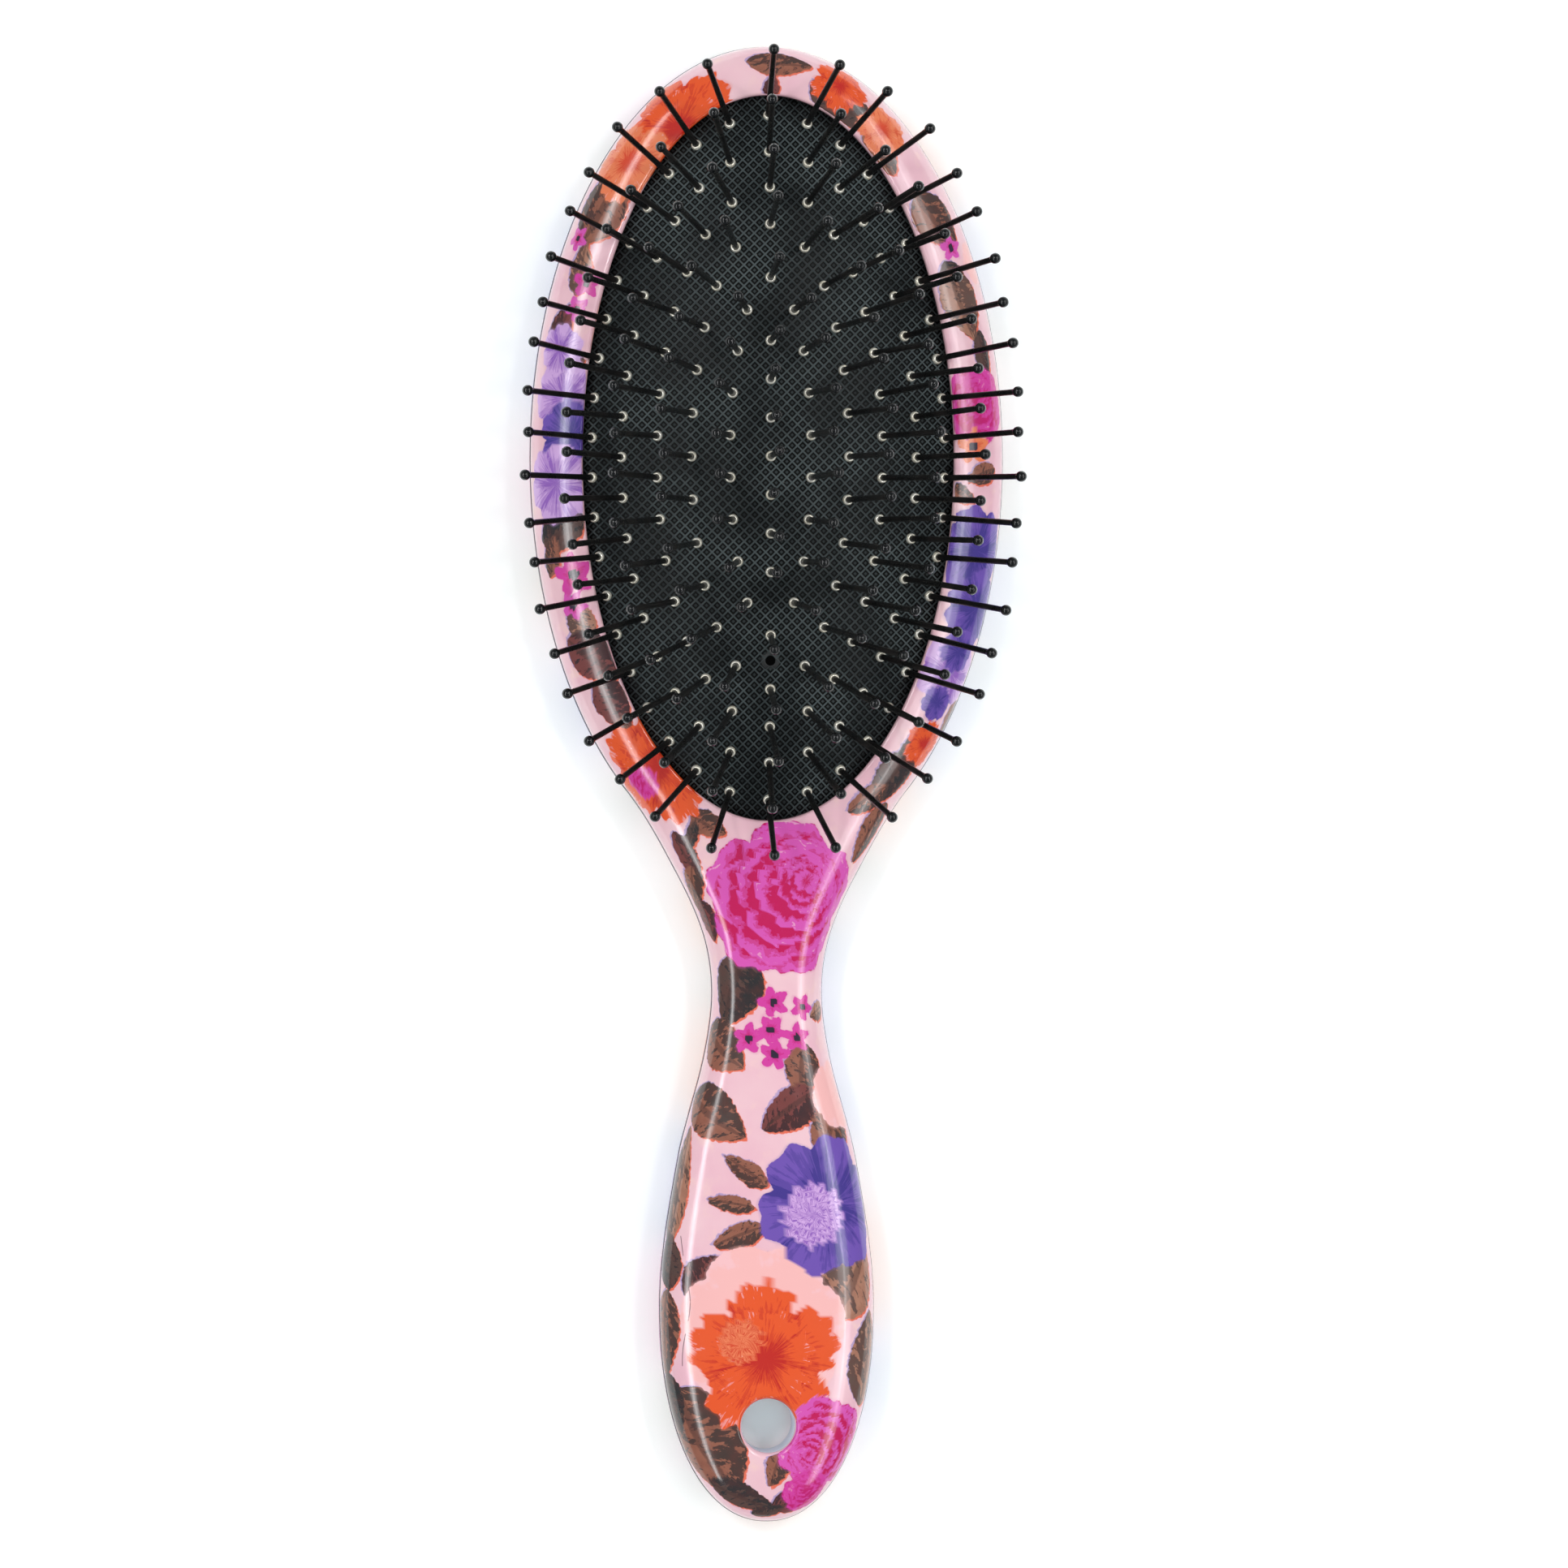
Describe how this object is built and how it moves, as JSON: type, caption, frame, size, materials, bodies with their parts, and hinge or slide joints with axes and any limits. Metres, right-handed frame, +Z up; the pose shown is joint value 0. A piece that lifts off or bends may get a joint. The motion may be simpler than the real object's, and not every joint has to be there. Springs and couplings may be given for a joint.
{
  "type": "oval cushion hairbrush",
  "caption": "Oval cushion hairbrush with a printed two-shell plastic body, domed rubber pad, ball-tipped wire pins and a hanging hole in the flared handle.",
  "frame": {"origin": "under the middle of the brush, on the surface it lies on, with the bristle pins up", "axes": "+Z up along the pins, +Y from the handle to the head, +X across the head"},
  "size_m": [0.0799, 0.235, 0.0435],
  "materials": {
    "printed_front": "glossy clear coat over a floral film",
    "printed_back": "glossy clear coat over a floral film",
    "rubber": "satin black with a fine diamond texture",
    "inner_plastic": "matte",
    "coated_wire": "satin black coating",
    "collar_metal": "bright",
    "ball_enamel": "gloss black"
  },
  "bodies": {
    "body": {"front_shell": "printed_front", "back_shell": "printed_back", "cushion_pad": "rubber", "clamp_ring": "inner_plastic"},
    "pins_centre": {"pin_wires_centre": "coated_wire", "pin_collars_centre": "collar_metal", "ball_tips_centre": "ball_enamel"},
    "pins_ring_1": {"pin_wires_ring_1": "coated_wire", "pin_collars_ring_1": "collar_metal", "ball_tips_ring_1": "ball_enamel"},
    "pins_ring_2": {"pin_wires_ring_2": "coated_wire", "pin_collars_ring_2": "collar_metal", "ball_tips_ring_2": "ball_enamel"},
    "pins_ring_3": {"pin_wires_ring_3": "coated_wire", "pin_collars_ring_3": "collar_metal", "ball_tips_ring_3": "ball_enamel"},
    "pins_ring_4": {"pin_wires_ring_4": "coated_wire", "pin_collars_ring_4": "collar_metal", "ball_tips_ring_4": "ball_enamel"},
    "pins_ring_5": {"pin_wires_ring_5": "coated_wire", "pin_collars_ring_5": "collar_metal", "ball_tips_ring_5": "ball_enamel"}
  },
  "joints": [
    {"name": "cushion_press", "type": "slide", "parent": "body", "child": "pins_centre", "axis": [0, 0, 1], "range_m": [-0.0035, 0], "stiffness_N_per_m": 300, "springref_m": 0.0005, "deforming": ["cushion_pad"]},
    {"name": "cushion_press_ring_1", "type": "slide", "parent": "body", "child": "pins_ring_1", "axis": [0, 0, 1], "range_m": [-0.00333, 0], "stiffness_N_per_m": 300, "springref_m": 0.0005},
    {"name": "cushion_press_ring_2", "type": "slide", "parent": "body", "child": "pins_ring_2", "axis": [0, 0, 1], "range_m": [-0.00288, 0], "stiffness_N_per_m": 300, "springref_m": 0.0005},
    {"name": "cushion_press_ring_3", "type": "slide", "parent": "body", "child": "pins_ring_3", "axis": [0, 0, 1], "range_m": [-0.00228, 0], "stiffness_N_per_m": 300, "springref_m": 0.0005},
    {"name": "cushion_press_ring_4", "type": "slide", "parent": "body", "child": "pins_ring_4", "axis": [0, 0, 1], "range_m": [-0.00145, 0], "stiffness_N_per_m": 300, "springref_m": 0.0005},
    {"name": "cushion_press_ring_5", "type": "slide", "parent": "body", "child": "pins_ring_5", "axis": [0, 0, 1], "range_m": [-0.00034, 0], "stiffness_N_per_m": 300, "springref_m": 0.0005}
  ],
  "couplings": [
    {"joint": "cushion_press_ring_1", "follows": "cushion_press", "ratio": 0.947},
    {"joint": "cushion_press_ring_2", "follows": "cushion_press", "ratio": 0.818},
    {"joint": "cushion_press_ring_3", "follows": "cushion_press", "ratio": 0.647},
    {"joint": "cushion_press_ring_4", "follows": "cushion_press", "ratio": 0.41},
    {"joint": "cushion_press_ring_5", "follows": "cushion_press", "ratio": 0.09}
  ]
}
